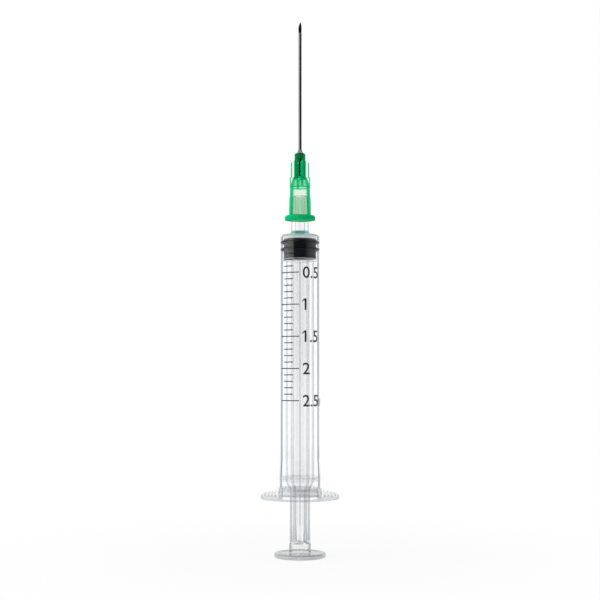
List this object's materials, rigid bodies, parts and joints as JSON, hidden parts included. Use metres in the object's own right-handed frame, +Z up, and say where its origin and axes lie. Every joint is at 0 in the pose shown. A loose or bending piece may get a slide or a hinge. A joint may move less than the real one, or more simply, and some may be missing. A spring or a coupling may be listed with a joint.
{
  "type": "syringe",
  "caption": "Hypodermic syringe with clear barrel, cross-rib plunger rod, black rubber stopper and a green-hubbed steel needle pushed onto its nozzle, standing on its thumb disc.",
  "frame": {"origin": "centre of the thumb disc's underside, which is the centre of the box's bottom", "axes": "+Z up the common axis towards the needle's point, X along the finger flange's wings, -Y the side that carries the scale"},
  "size_m": [0.0192, 0.02, 0.1347],
  "materials": {
    "clear_barrel": "polished clear moulding",
    "clear_rod": "clear moulding, slightly milky",
    "black_rubber": "siliconed rubber",
    "green_plastic": "translucent green moulding",
    "needle_steel": "electropolished stainless steel",
    "glue": "cured translucent adhesive"
  },
  "bodies": {
    "rod": {"plunger_rod": "clear_rod"},
    "stopper": {"stopper": "black_rubber"},
    "barrel": {"barrel": "clear_barrel"},
    "needle": {"needle_hub": "green_plastic", "cannula": "needle_steel", "adhesive": "glue"}
  },
  "joints": [
    {"name": "rod_turn", "type": "hinge", "parent": "rod", "child": "stopper", "pos_m": [0, 0, 0.0765], "axis": [0, 0, 1], "continuous": true},
    {"name": "barrel_slide", "type": "slide", "parent": "stopper", "child": "barrel", "axis": [0, 0, 1], "range_m": [0, 0.0562]},
    {"name": "needle_pull", "type": "slide", "parent": "barrel", "child": "needle", "axis": [0, 0, 1], "range_m": [0, 0.008]}
  ]
}
